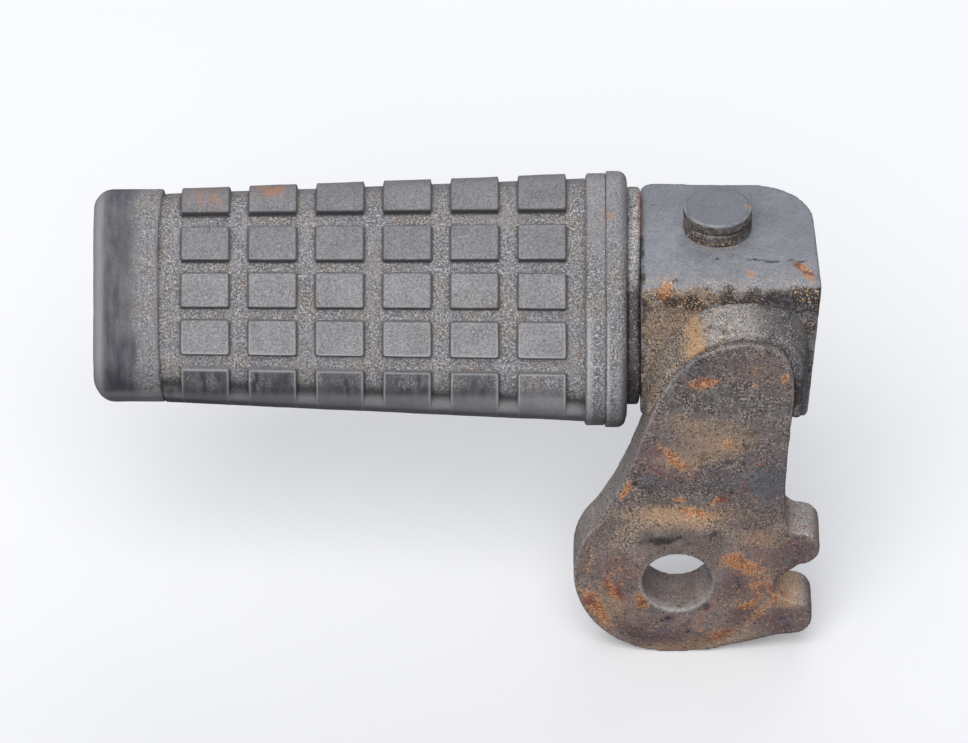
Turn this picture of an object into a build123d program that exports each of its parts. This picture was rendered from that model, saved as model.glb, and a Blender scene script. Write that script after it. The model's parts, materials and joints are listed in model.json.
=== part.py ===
from build123d import *
import os
from math import cos, radians, sin, sqrt

# Folding motorcycle foot peg on its forged mounting arm, in millimetres.
# The origin is the centre of the mounting bore. +Y runs along the bore, away from the arm's plain face.
# +Z runs along the hinge pin towards its head, and +X from the rubber pad towards the fork.
# The peg is drawn folded, pointing to -X. Its riding position is a quarter turn on, pointing to +Y.

# Hinge pin axis, and the height of the peg's own axis
pin_x = 7.6
pin_y = 23.6
peg_z = 49.7

# Clevis block: two ears and a front web
clevis_half_height = 16.7
clevis_reach = 15.2        # pin axis to the left edges and to the far edges, the two detent faces
clevis_front_depth = 19.4  # pin axis to the web's front face
clevis_wall = 5.0
clevis_bend = 2.8
ear_corner = 2.5           # the ears' far left corner, seen from above
ear_nose_radius = 12.2
ear_nose_x = 7.0           # middle of the round nose, from the pin axis
ear_nose_y = 2.6
web_right_top = 20.2
web_right_bottom = 17.9
web_tilt = 0.4             # how much higher the web's bottom edge is at its left end
web_low_corner = 2.2       # the block's corners seen from the front
web_top_corner = 0.8

# Mounting arm, boss and fork
arm_thickness = 9.0
boss_thickness = 12.0
boss_radius = 19.6
face_ring_radius = 16.0
mount_bore_radius = 7.0
fork_root_radius = 1.6
fork_shoulder_radius = 3.6

# Hinge pin and its hardware
pin_radius = 5.0
running_gap = 0.05
loose_gap = 0.2            # round the pin in the washers and shims
head_radius = 6.8
head_thickness = 2.4
washer_thickness = 2.8
groove_height = 0.4
groove_radius = 6.1
tail_length = 6.6
tail_washer_radius = 9.0
tail_washer_thickness = 1.6
split_pin_radius = 1.2

# Forged core inside the pad
tongue_flat = 14.1         # pin axis to the tongue's two stop flats
tongue_far_side = 9.6
bush_radius = 7.0
shim_radius = 10.4
shim_thickness = 1.1
side_play = 0.1
neck_half_width = 6.5      # straight neck through the plate and the cushion
neck_end = 23.0
bar_half_width = 12.0
bar_half_depth = 6.5
bar_end = 113.4
spigot_radius = 4.0
rivet_radius = 5.2
rivet_thickness = 1.2

# Pad: distances from the pin axis, outwards along the peg
pad_tilt = 41.0            # angle between the tread's normal and the bore axis
plate_start = 15.55
plate_end = 18.0
seam = 22.2
flange_end = 26.2
tread_end = 111.1
cap_end = 124.1
disc_thickness = 2.5
disc_width = 30.0
disc_depth = 20.0

# Pad sections, as half sizes
crown_radius = 86.0
cushion_half_width = 25.1
cushion_half_depth = 18.2
flange_half_width = 24.7
flange_half_depth = 17.8
plate_half_width = 21.2
plate_half_depth = 14.2
root_half_width = 24.4
root_half_depth = 16.2
tip_half_width = 20.9
tip_half_depth = 14.8
cap_half_width = 20.9
cap_half_depth = 14.9
pad_corner = 9.0
relief = 1.6
flange_drop = 0.75         # how far the flanges and the tread's root sit below the peg's axis
root_drop = 0.35

# Tread blocks
columns = 6
column_pitch = 13.38
first_column = 34.9        # pin axis to the middle of the column nearest the clevis
block_length = 9.4
block_half = 3.35
row_pitch = 9.35
edge_row = 15.7
fan_out = 0.06             # how much wider the rows stand at the clevis end

top = peg_z + clevis_half_height
bottom = peg_z - clevis_half_height
web_front = pin_y - clevis_front_depth
web_back = web_front + clevis_wall
arm_front = web_front - arm_thickness
boss_front = -boss_thickness / 2
boss_back = boss_thickness / 2
clevis_left = pin_x - clevis_reach
clevis_far = pin_y + clevis_reach
tongue_half_height = clevis_half_height - clevis_wall - side_play - shim_thickness


def peg_plane(distance, drop=0):
    """Plane across the peg: its x runs across the tread, its y along the tread's normal."""
    across = Vector(0, sin(radians(pad_tilt)), cos(radians(pad_tilt)))
    middle = Vector(pin_x - distance, pin_y, peg_z) - across * drop
    return Plane(origin=middle, x_dir=across, z_dir=(1, 0, 0))


def pad_section(distance, half_width, half_depth, corner, drop=0):
    """Round-cornered section of the pad with gently crowned faces."""
    crown_drop = crown_radius - sqrt(crown_radius**2 - half_width**2)
    shoulder = half_depth - crown_drop
    with BuildSketch(peg_plane(distance, drop)) as section:
        with BuildLine():
            ThreePointArc((-half_width, shoulder), (0, half_depth), (half_width, shoulder))
            Line((half_width, shoulder), (half_width, -shoulder))
            ThreePointArc((half_width, -shoulder), (0, -half_depth), (-half_width, -shoulder))
            Line((-half_width, -shoulder), (-half_width, shoulder))
        make_face()
        fillet(section.vertices(), corner)
    return section.sketch


def bar_section(distance, gap):
    """Section of the flat bar inside the pad, widened by a gap all round."""
    with BuildSketch(peg_plane(distance)) as section:
        RectangleRounded(2 * (bar_half_width + gap), 2 * (bar_half_depth + gap), 3 + gap)
    return section.sketch


def neck_section(distance, gap):
    """Upright section of the neck between the tongue and the bar, widened by a gap all round."""
    upright = Plane(origin=(pin_x - distance, pin_y, peg_z), x_dir=(0, 1, 0), z_dir=(1, 0, 0))
    with BuildSketch(upright) as section:
        RectangleRounded(2 * (neck_half_width + gap), 2 * (tongue_half_height + gap), 2 + gap)
    return section.sketch


os.makedirs("parts", exist_ok=True)

# --- Clevis block -------------------------------------------------------------------------------
with BuildPart() as clevis_block:
    with BuildSketch(Plane.YZ.offset(clevis_left)) as channel:
        with Locations(((web_front + clevis_far) / 2, peg_z)):
            Rectangle(clevis_far - web_front, 2 * clevis_half_height)
        fillet(channel.vertices().group_by(Axis.X)[0], clevis_bend)
        with Locations(((web_back + clevis_far) / 2 + 1, peg_z)):
            slot_height = 2 * (clevis_half_height - clevis_wall)
            Rectangle(clevis_far - web_back + 2, slot_height, mode=Mode.SUBTRACT)
    extrude(amount=40)
    # ears seen from above: square left corner, round right nose
    nose_x = pin_x + ear_nose_x
    nose_y = pin_y + ear_nose_y
    with BuildSketch(Plane.XY.offset(bottom - 1)) as plan:
        with BuildLine():
            Polyline(
                (nose_x, nose_y + ear_nose_radius),
                (clevis_left, clevis_far),
                (clevis_left, web_front - 1),
                (pin_x + web_right_top, web_front - 1),
                (nose_x + ear_nose_radius, nose_y),
            )
            RadiusArc(
                (nose_x + ear_nose_radius, nose_y),
                (nose_x, nose_y + ear_nose_radius),
                -ear_nose_radius,
            )
        make_face()
        fillet(plan.vertices().group_by(Axis.X)[0].sort_by(Axis.Y)[-1], ear_corner)
    extrude(amount=2 * clevis_half_height + 2, mode=Mode.INTERSECT)
    # web seen from the front: its right edge leans in towards the bottom
    with BuildSketch(Plane.XZ.offset(-web_front + 1)) as front:
        with BuildLine():
            Polyline(
                (clevis_left, top),
                (clevis_left, bottom + web_tilt),
                (pin_x + web_right_bottom, bottom),
                (pin_x + web_right_top, top),
                close=True,
            )
        make_face()
        fillet(front.vertices().sort_by(Axis.Y)[:2], web_low_corner)
        fillet(front.vertices().group_by(Axis.Y)[-1], web_top_corner)
    extrude(amount=-(clevis_far - web_front + 2), mode=Mode.INTERSECT)
    with Locations((pin_x, pin_y, peg_z)):
        Hole(pin_radius + running_gap)
    clevis_block.part.label = "clevis_block"
export_step(clevis_block.part, "parts/clevis_block.step")

# --- Mounting arm -------------------------------------------------------------------------------
# A flat forged arm on the front of the web, ending in a thicker boss with a two-pronged fork.
boss_x = -1.2
boss_z = 0.9
fork_root = 19.4
notch_low = -3.8
notch_high = -0.4
upper_prong = (24.5, 7.5)
upper_prong_radius = 4.0
lower_prong = (23.2, -10.2)
lower_prong_radius = 4.1
with BuildSketch(Plane.XZ.offset(-web_front)) as arm_outline:
    with BuildLine():
        Spline(
            (boss_x - boss_radius, boss_z),
            (-18.9, 8.4),
            (-11.2, 24.0),
            (-6.3, 38.6),
            (2.4, 54.4),
            (11.5, 58.5),
            (20.2, 55.9),
            (22.5, 49.0),
            (22.1, 38.0),
            (21.4, 26.0),
            (21.3, 13.0),
            tangents=((0, 1), (0, -1)),
        )
        Line((21.3, 13.0), (boss_x, boss_z))
        Line((boss_x, boss_z), (boss_x - boss_radius, boss_z))
    make_face()

with BuildPart() as mount_arm:
    extrude(arm_outline.sketch, amount=arm_thickness)
    with BuildSketch(Plane.XZ.offset(-boss_back)) as lobe:
        with Locations((boss_x, boss_z)):
            Circle(boss_radius)
        with BuildLine():
            Polyline(
                (boss_x, boss_z - boss_radius),
                (6.4, -18.2),
                (lower_prong[0] - 1.2, lower_prong[1] - lower_prong_radius + 0.1),
                (lower_prong[0], lower_prong[1] + lower_prong_radius),
                (fork_root, notch_low),
                (fork_root, notch_high),
                (upper_prong[0], upper_prong[1] - upper_prong_radius),
                (21.3, upper_prong[1] + upper_prong_radius),
                (21.3, 19.0),
                (boss_x, 19.0),
                close=True,
            )
        make_face()
        for tip, tip_radius in ((upper_prong, upper_prong_radius), (lower_prong, lower_prong_radius)):
            with Locations(tip):
                Circle(tip_radius)
            with Locations((tip[0] - 4, tip[1])):
                Rectangle(8, 2 * tip_radius)
    extrude(amount=boss_back - arm_front)
    fork_corners = mount_arm.edges().filter_by(Axis.Y).filter_by_position(Axis.X, fork_root - 0.1, 21.4)
    notch_corners = fork_corners.filter_by_position(Axis.Z, notch_low - 0.1, notch_high + 0.1)
    shoulder_corner = fork_corners.filter_by_position(Axis.Z, 11, 12)
    fillet(notch_corners, fork_root_radius)
    fillet(shoulder_corner, fork_shoulder_radius)
    with BuildSketch(Plane.XZ.offset(-arm_front)):
        Circle(face_ring_radius)
    extrude(amount=arm_front - boss_front)
    with Locations(Location((0, boss_front, 0), (90, 0, 0))):
        Hole(mount_bore_radius)
    mount_arm.part.label = "mount_arm"
export_step(mount_arm.part, "parts/mount_arm.step")

# --- Weld bead round the arm's top: from its foot on the web it slopes up to the arm's front edge -
bead_height = 7.4
foot = ((-7.4, 41.0), (-2.2, 53.6), (4.6, 60.6), (12.0, 62.3), (20.6, 60.4), (25.2, 54.0))
crest = ((-6.2, 41.0), (-0.4, 52.6), (5.4, 58.2), (12.0, 59.9), (19.6, 58.2), (23.6, 52.0))
bead_bottom = 40.0


def bead_outline(height, points):
    """Outline of the bead at a height above the web, before the arm is cut out of it."""
    with BuildSketch(Plane.XZ.offset(-web_front + height)) as outline:
        with BuildLine():
            Spline(*points, tangents=((0.25, 1), (0.1, -1)))
            Polyline(points[-1], (points[-1][0], bead_bottom), (points[0][0], bead_bottom), points[0])
        make_face()
    return outline.sketch


with BuildPart() as arm_weld:
    loft([bead_outline(0, foot), bead_outline(bead_height, crest)])
    extrude(arm_outline.sketch, amount=arm_thickness, mode=Mode.SUBTRACT)
    arm_weld.part.label = "arm_weld"
export_step(arm_weld.part, "parts/arm_weld.step")

# --- Hinge pin and its hardware -----------------------------------------------------------------
head_bottom = top + washer_thickness + groove_height
pin_end = bottom - tail_length
with BuildPart() as hinge_pin:
    with BuildSketch(Plane.XZ.offset(-pin_y)) as pin_profile:
        with BuildLine():
            Polyline(
                (pin_x, pin_end),
                (pin_x + pin_radius - 1, pin_end),
                (pin_x + pin_radius, pin_end + 1),
                (pin_x + pin_radius, head_bottom - groove_height),
                (pin_x + groove_radius, head_bottom - groove_height),
                (pin_x + groove_radius, head_bottom),
                (pin_x + head_radius, head_bottom),
                (pin_x + head_radius, head_bottom + head_thickness - 0.5),
                (pin_x + head_radius - 0.7, head_bottom + head_thickness),
                (pin_x, head_bottom + head_thickness),
                close=True,
            )
        make_face()
    revolve(axis=Axis((pin_x, pin_y, 0), (0, 0, 1)))
    split_pin_z = bottom - tail_washer_thickness - 0.4 - split_pin_radius
    with Locations(Location((pin_x, pin_y, split_pin_z), (0, 90, 0))):
        Hole(split_pin_radius + running_gap)
    hinge_pin.part.label = "hinge_pin"
export_step(hinge_pin.part, "parts/hinge_pin.step")

with BuildPart() as head_washer:
    with BuildSketch(Plane((pin_x, pin_y, top))):
        Circle(head_radius)
        Circle(pin_radius + running_gap, mode=Mode.SUBTRACT)
    extrude(amount=washer_thickness)
    chamfer(head_washer.edges().filter_by(GeomType.CIRCLE).sort_by(SortBy.RADIUS)[-2:], 0.3)
    head_washer.part.label = "head_washer"
export_step(head_washer.part, "parts/head_washer.step")

with BuildPart() as tail_washer:
    with BuildSketch(Plane((pin_x, pin_y, bottom - tail_washer_thickness))):
        Circle(tail_washer_radius)
        Circle(pin_radius + loose_gap, mode=Mode.SUBTRACT)
    extrude(amount=tail_washer_thickness)
    tail_washer.part.label = "tail_washer"
export_step(tail_washer.part, "parts/tail_washer.step")

# Split pin: two legs side by side through the pin, an eye on one side, the legs spread on the other
leg_reach = pin_radius + 1.6
with BuildPart() as split_pin:
    eye_x = pin_x - leg_reach
    with BuildSketch(Plane((eye_x, pin_y, split_pin_z), z_dir=(1, 0, 0))):
        Circle(split_pin_radius)
    extrude(amount=2 * leg_reach)
    with Locations(Location((eye_x - 1.2, pin_y, split_pin_z), (0, 0, 0))):
        Torus(1.8, 0.75)
    for side in (1, -1):
        leg_plane = Plane((pin_x + leg_reach - 0.6, pin_y, split_pin_z), z_dir=(0.45, side, 0))
        with BuildSketch(leg_plane):
            Circle(0.75)
        extrude(amount=4.2)
    split_pin.part.label = "split_pin"
export_step(split_pin.part, "parts/split_pin.step")

# --- Peg core: tongue between the ears and the flat bar inside the pad --------------------------
tongue_left = pin_x - plate_start + 0.1
tongue_right = pin_x + tongue_flat
tongue_near = pin_y - tongue_flat
tongue_far = pin_y + tongue_far_side
with BuildPart() as peg_core:
    with BuildSketch(Plane.XY.offset(peg_z - tongue_half_height)) as tongue_plan:
        with BuildLine():
            Polyline(
                (pin_x, tongue_near),
                (tongue_left, tongue_near),
                (tongue_left, tongue_far),
                (tongue_right, tongue_far),
                (tongue_right, pin_y),
            )
            RadiusArc((tongue_right, pin_y), (pin_x, tongue_near), tongue_flat)
        make_face()
        fillet(tongue_plan.vertices().group_by(Axis.Y)[-1], 1.5)
        with Locations((pin_x, pin_y)):
            Circle(bush_radius, mode=Mode.SUBTRACT)
    extrude(amount=2 * tongue_half_height)
    extrude(neck_section(plate_start - 0.2, 0), amount=-(neck_end - plate_start + 0.2))
    extrude(bar_section(neck_end - 0.5, 0), amount=-(bar_end - neck_end + 0.5))
    with BuildSketch(peg_plane(bar_end)):
        Circle(spigot_radius)
    extrude(amount=-disc_thickness)
    with BuildSketch(peg_plane(bar_end + disc_thickness)):
        Circle(rivet_radius)
    extrude(amount=-rivet_thickness)
    peg_core.part.label = "peg_core"
export_step(peg_core.part, "parts/peg_core.step")

with BuildPart() as hinge_bush:
    with BuildSketch(Plane((pin_x, pin_y, peg_z - tongue_half_height))):
        Circle(bush_radius)
        Circle(pin_radius + running_gap, mode=Mode.SUBTRACT)
    extrude(amount=2 * tongue_half_height)
    hinge_bush.part.label = "hinge_bush"
export_step(hinge_bush.part, "parts/hinge_bush.step")

for shim_name, shim_z in (
    ("upper_shim", peg_z + tongue_half_height),
    ("lower_shim", peg_z - tongue_half_height - shim_thickness),
):
    with BuildPart() as shim:
        with BuildSketch(Plane((pin_x, pin_y, shim_z))):
            Circle(shim_radius)
            Circle(pin_radius + loose_gap, mode=Mode.SUBTRACT)
        extrude(amount=shim_thickness)
        shim.part.label = shim_name
    export_step(shim.part, f"parts/{shim_name}.step")

with BuildPart() as retaining_disc:
    with BuildSketch(peg_plane(bar_end)):
        RectangleRounded(disc_width, disc_depth, 6)
        Circle(spigot_radius, mode=Mode.SUBTRACT)
    extrude(amount=-disc_thickness)
    retaining_disc.part.label = "retaining_disc"
export_step(retaining_disc.part, "parts/retaining_disc.step")

# --- Pressure plate and detent cushion ----------------------------------------------------------
with BuildPart() as pressure_plate:
    plate_outline = pad_section(plate_start, plate_half_width, plate_half_depth, 7.5)
    extrude(plate_outline, amount=-(plate_end - plate_start))
    plate_slot = neck_section(plate_start, 0.3)
    extrude(plate_slot, amount=-(plate_end - plate_start), mode=Mode.SUBTRACT)
    pressure_plate.part.label = "pressure_plate"
export_step(pressure_plate.part, "parts/pressure_plate.step")

with BuildPart() as detent_cushion:
    cushion_outline = pad_section(
        plate_end, cushion_half_width, cushion_half_depth, pad_corner, flange_drop
    )
    extrude(cushion_outline, amount=-(seam - plate_end))
    fillet(detent_cushion.faces().sort_by(Axis.X)[-1].outer_wire().edges(), 1.8)
    extrude(neck_section(plate_end, 0.1), amount=-(seam - plate_end), mode=Mode.SUBTRACT)
    detent_cushion.part.label = "detent_cushion"
export_step(detent_cushion.part, "parts/detent_cushion.step")

# --- Rubber pad ---------------------------------------------------------------------------------
# Tread blocks: prisms over the whole relief, trimmed by the pad's outer shape
tread_length = tread_end - flange_end
with BuildPart() as tread_rubber:
    for column in range(columns):
        middle = first_column + column * column_pitch
        fan = 1 + fan_out * (tread_end - middle) / tread_length
        with BuildSketch(peg_plane(middle - block_length / 2)):
            for row in (-1, 0, 1):
                row_middle = row * fan * row_pitch
                with Locations((row_middle, root_half_depth - 3)):
                    Rectangle(2 * block_half * fan, 8)
            for side in (-1, 1):
                with Locations((side * (edge_row * fan + 10), 10)):
                    Rectangle(20, 20)
        extrude(amount=-block_length)
    with BuildSketch(peg_plane(flange_end)):
        with Locations((0, -15)):
            Rectangle(70, 30)
    extrude(amount=-tread_length)
    outer_root = pad_section(flange_end, root_half_width, root_half_depth, pad_corner, root_drop)
    outer_tip = pad_section(tread_end, tip_half_width, tip_half_depth, pad_corner)
    loft([outer_root, outer_tip], mode=Mode.INTERSECT)
    base_corner = pad_corner - relief
    base_root = pad_section(
        flange_end, root_half_width - relief, root_half_depth - relief, base_corner, root_drop
    )
    base_tip = pad_section(tread_end, tip_half_width - relief, tip_half_depth - relief, base_corner)
    loft([base_root, base_tip])
    flange = pad_section(seam, flange_half_width, flange_half_depth, pad_corner, flange_drop)
    extrude(flange, amount=-(flange_end - seam))
    cap = pad_section(tread_end, cap_half_width, cap_half_depth, pad_corner)
    extrude(cap, amount=-(cap_end - tread_end))
    fillet(tread_rubber.faces().sort_by(Axis.X)[0].outer_wire().edges(), 3.8)
    # pocket for the neck, the bar, the disc and the rivet
    extrude(neck_section(seam, 0.1), amount=-(neck_end - seam), mode=Mode.SUBTRACT)
    extrude(bar_section(neck_end - 0.6, 0.1), amount=-(bar_end - neck_end + 0.6), mode=Mode.SUBTRACT)
    with BuildSketch(peg_plane(bar_end)):
        RectangleRounded(disc_width + 0.4, disc_depth + 0.4, 6.2)
    extrude(amount=-(disc_thickness + 0.2), mode=Mode.SUBTRACT)
    with BuildSketch(peg_plane(bar_end + disc_thickness)):
        Circle(rivet_radius + 0.3)
    extrude(amount=-(rivet_thickness + 0.3), mode=Mode.SUBTRACT)
    tread_rubber.part.label = "tread_rubber"
export_step(tread_rubber.part, "parts/tread_rubber.step")
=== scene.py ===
import json
import math
import bmesh
import bpy
import numpy as np
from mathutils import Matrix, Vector


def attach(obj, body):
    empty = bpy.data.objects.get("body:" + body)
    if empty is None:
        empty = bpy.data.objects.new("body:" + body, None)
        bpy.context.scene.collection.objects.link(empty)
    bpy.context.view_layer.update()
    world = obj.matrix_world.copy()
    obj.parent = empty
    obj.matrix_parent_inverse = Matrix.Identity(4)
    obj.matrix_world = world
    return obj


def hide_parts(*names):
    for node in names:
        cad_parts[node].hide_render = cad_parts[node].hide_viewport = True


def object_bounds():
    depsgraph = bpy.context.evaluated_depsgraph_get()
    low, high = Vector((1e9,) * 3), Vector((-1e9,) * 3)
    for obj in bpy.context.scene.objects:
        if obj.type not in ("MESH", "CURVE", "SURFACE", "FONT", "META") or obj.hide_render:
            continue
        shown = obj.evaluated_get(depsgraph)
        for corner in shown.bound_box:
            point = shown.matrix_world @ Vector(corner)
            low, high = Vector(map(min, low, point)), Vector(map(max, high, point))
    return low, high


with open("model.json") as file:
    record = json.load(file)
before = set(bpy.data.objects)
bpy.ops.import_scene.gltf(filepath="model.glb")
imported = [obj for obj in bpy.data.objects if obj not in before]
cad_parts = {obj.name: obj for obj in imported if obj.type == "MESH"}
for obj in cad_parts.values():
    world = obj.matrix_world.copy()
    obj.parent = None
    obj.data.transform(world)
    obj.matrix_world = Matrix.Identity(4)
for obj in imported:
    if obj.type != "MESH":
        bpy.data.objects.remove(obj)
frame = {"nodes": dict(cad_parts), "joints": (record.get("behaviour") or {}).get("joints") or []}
cad_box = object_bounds()

MM = 0.001
HINGE = frame["joints"][0]
PIN = np.array(HINGE["pos_m"])  # where the pin's axis meets the peg's axis

# The peg's own directions: outwards along it, across the tread, and out of the tread
PAD_TILT = math.radians(41.0)
ACROSS = np.array([0.0, math.sin(PAD_TILT), math.cos(PAD_TILT)])
FACING = np.array([0.0, -math.cos(PAD_TILT), math.sin(PAD_TILT)])
OUTWARD = np.array([-1.0, 0.0, 0.0])

JOIN_DISTANCE = 0.001 * MM  # points closer than this are one point


# --- Random values ------------------------------------------------------------------------------
def lattice(points, cell, seed):
    """Smooth random values from -1 to 1 at points, on a lattice with the given cell size."""
    scaled = points / cell
    base = np.floor(scaled).astype(np.int64)
    blend = scaled - base
    blend = blend * blend * (3 - 2 * blend)
    total = np.zeros(len(points))
    for corner in np.ndindex(2, 2, 2):
        at = base + corner
        code = (at[:, 0] * 73856093) ^ (at[:, 1] * 19349663) ^ (at[:, 2] * 83492791) ^ (seed * 2654435)
        code = (code * 1103515245 + 12345) & 0x7FFFFFFF
        code = ((code >> 15) ^ code) * 48271 & 0x7FFFFFFF
        weight = np.prod(np.where(corner, blend, 1 - blend), axis=1)
        total += weight * (code / 0x3FFFFFFF - 1)
    return total


def fractal(points, cell, seed, octaves=3):
    """Several lattices on top of each other, each half the size and half the strength."""
    total = np.zeros(len(points))
    for octave in range(octaves):
        total += lattice(points, cell / 2**octave, seed + 7 * octave) / 2**octave
    return total


def step(value, low, high):
    """0 at low, 1 at high, smooth between and level beyond. low may be the larger."""
    t = np.clip((value - low) / (high - low), 0, 1)
    return t * t * (3 - 2 * t)


# --- Mesh helpers -------------------------------------------------------------------------------
def new_piece(name, mesh, body, nodes):
    """Links a finished mesh as a piece that rides on a body and stands for CAD nodes."""
    piece = bpy.data.objects.new(name, mesh)
    bpy.context.scene.collection.objects.link(piece)
    mesh.shade_smooth()
    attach(piece, body)
    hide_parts(*nodes)


def voxel_copy(mesh, voxel):
    """A copy of mesh made of even faces, each about voxel across."""
    holder = bpy.data.objects.new("holder", mesh)
    bpy.context.scene.collection.objects.link(holder)
    remesh = holder.modifiers.new("REMESH", "REMESH")
    remesh.mode = "VOXEL"
    remesh.voxel_size = voxel
    bpy.context.view_layer.update()
    graph = bpy.context.evaluated_depsgraph_get()
    result = bpy.data.meshes.new_from_object(holder.evaluated_get(graph))
    bpy.data.objects.remove(holder)
    return result


def coordinates(mesh):
    points = np.empty(len(mesh.vertices) * 3)
    mesh.vertices.foreach_get("co", points)
    return points.reshape(-1, 3)


def normals(mesh):
    directions = np.empty(len(mesh.vertices) * 3)
    mesh.vertices.foreach_get("normal", directions)
    return directions.reshape(-1, 3)


def move_to(mesh, points):
    mesh.vertices.foreach_set("co", points.ravel())
    mesh.update()


def relaxed(mesh, points, passes):
    """points after each has moved towards the middle of its neighbours, passes times."""
    edges = np.empty(len(mesh.edges) * 2, dtype=np.int64)
    mesh.edges.foreach_get("vertices", edges)
    a, b = edges.reshape(-1, 2).T
    count = np.bincount(np.concatenate([a, b]), minlength=len(points))[:, None]
    for _ in range(passes):
        total = np.zeros_like(points)
        for axis in range(3):
            total[:, axis] = np.bincount(a, points[b, axis], len(points))
            total[:, axis] += np.bincount(b, points[a, axis], len(points))
        points = 0.5 * points + 0.5 * total / np.maximum(count, 1)
    return points


def store(mesh, name, values):
    """Keeps one value for each point, for a material to read."""
    layer = mesh.attributes.get(name) or mesh.attributes.new(name, "FLOAT", "POINT")
    layer.data.foreach_set("value", np.ascontiguousarray(values, dtype=np.float32))


def stored(mesh, name):
    """The values that store() kept."""
    kept = np.empty(len(mesh.vertices), dtype=np.float32)
    mesh.attributes[name].data.foreach_get("value", kept)
    return kept.astype(float)


def closed_copy(node):
    """A node's own mesh with its split points joined."""
    shell = bmesh.new()
    shell.from_mesh(frame["nodes"][node].data)
    bmesh.ops.remove_doubles(shell, verts=shell.verts, dist=JOIN_DISTANCE)
    mesh = bpy.data.meshes.new(node + "_copy")
    shell.to_mesh(mesh)
    shell.free()
    mesh.materials.clear()
    return mesh


def worked_steel(node, voxel, softening):
    """A node's shape as an even, dense mesh with its edges rounded, ready to be pitted."""
    mesh = voxel_copy(closed_copy(node), voxel)
    move_to(mesh, relaxed(mesh, coordinates(mesh), softening))
    return mesh


# --- Materials ----------------------------------------------------------------------------------
class Shader:
    """A material's node tree, with short calls for the nodes used here."""

    def __init__(self, name):
        self.material = bpy.data.materials.new(name)
        self.material.use_nodes = True
        self.tree = self.material.node_tree
        self.surface = self.tree.nodes["Principled BSDF"]
        self.place = self.tree.nodes.new("ShaderNodeTexCoord").outputs["Object"]

    def put(self, socket, value):
        if isinstance(value, bpy.types.NodeSocket):
            self.tree.links.new(value, socket)
        elif socket.type == "RGBA" and len(value) == 3:
            socket.default_value = (*value, 1)
        else:
            socket.default_value = value

    def noise(self, size, detail=3.0, rough=0.55, stretch=(1, 1, 1), seed=0.0):
        """Noise with features about size metres across."""
        mapping = self.tree.nodes.new("ShaderNodeMapping")
        self.put(mapping.inputs["Vector"], self.place)
        mapping.inputs["Scale"].default_value = [s / size for s in stretch]
        mapping.inputs["Location"].default_value = (seed, seed * 0.7, -seed)
        node = self.tree.nodes.new("ShaderNodeTexNoise")
        self.put(node.inputs["Vector"], mapping.outputs[0])
        node.inputs["Scale"].default_value = 1.0
        node.inputs["Detail"].default_value = detail
        node.inputs["Roughness"].default_value = rough
        return node.outputs[0]

    def cells(self, size):
        """Distance to the nearest of scattered points about size metres apart."""
        mapping = self.tree.nodes.new("ShaderNodeMapping")
        self.put(mapping.inputs["Vector"], self.place)
        mapping.inputs["Scale"].default_value = [1 / size] * 3
        node = self.tree.nodes.new("ShaderNodeTexVoronoi")
        self.put(node.inputs["Vector"], mapping.outputs[0])
        node.inputs["Scale"].default_value = 1.0
        return node.outputs["Distance"]

    def point_value(self, name):
        node = self.tree.nodes.new("ShaderNodeAttribute")
        node.attribute_name = name
        return node.outputs["Fac"]

    def math(self, operation, a, b):
        node = self.tree.nodes.new("ShaderNodeMath")
        node.operation = operation
        self.put(node.inputs[0], a)
        self.put(node.inputs[1], b)
        return node.outputs[0]

    def times(self, a, b):
        return self.math("MULTIPLY", a, b)

    def plus(self, a, b):
        return self.math("ADD", a, b)

    def swing(self, noise, gain=1.0):
        """How far noise is from its mean of about 0.5, made gain times as large."""
        return self.times(self.math("SUBTRACT", noise, 0.5), gain)

    def between(self, value, low, high):
        """0 at low, 1 at high, smooth between. low may be the larger."""
        node = self.tree.nodes.new("ShaderNodeMapRange")
        node.interpolation_type = "SMOOTHSTEP"
        self.put(node.inputs["Value"], value)
        node.inputs["From Min"].default_value = min(low, high)
        node.inputs["From Max"].default_value = max(low, high)
        node.inputs["To Min"].default_value = 0.0 if low < high else 1.0
        node.inputs["To Max"].default_value = 1.0 if low < high else 0.0
        return node.outputs[0]

    def mix(self, share, a, b):
        """a where share is 0 and b where it is 1."""
        node = self.tree.nodes.new("ShaderNodeMix")
        node.data_type = "RGBA"
        self.put(node.inputs["Factor"], share)
        self.put(node.inputs["A"], a)
        self.put(node.inputs["B"], b)
        return node.outputs["Result"]

    def ramp(self, value, stops):
        """The colour that stops, given as (value, colour), have at value."""
        node = self.tree.nodes.new("ShaderNodeValToRGB")
        self.put(node.inputs[0], value)
        while len(node.color_ramp.elements) < len(stops):
            node.color_ramp.elements.new(0.5)
        for element, (position, colour) in zip(node.color_ramp.elements, stops):
            element.position = position
            element.color = (*colour, 1)
        return node.outputs[0]

    def bump(self, height, distance, strength, under=None):
        """A normal that follows height, on top of the normal under it."""
        node = self.tree.nodes.new("ShaderNodeBump")
        node.inputs["Strength"].default_value = strength
        node.inputs["Distance"].default_value = distance
        self.put(node.inputs["Height"], height)
        if under is not None:
            self.put(node.inputs["Normal"], under)
        return node.outputs[0]

    def finish(self, colour, roughness, normal, metallic=0.0):
        self.put(self.surface.inputs["Base Color"], colour)
        self.put(self.surface.inputs["Roughness"], roughness)
        self.put(self.surface.inputs["Normal"], normal)
        self.put(self.surface.inputs["Metallic"], metallic)
        return self.material


def grey(value):
    return (value, value, value)


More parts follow.
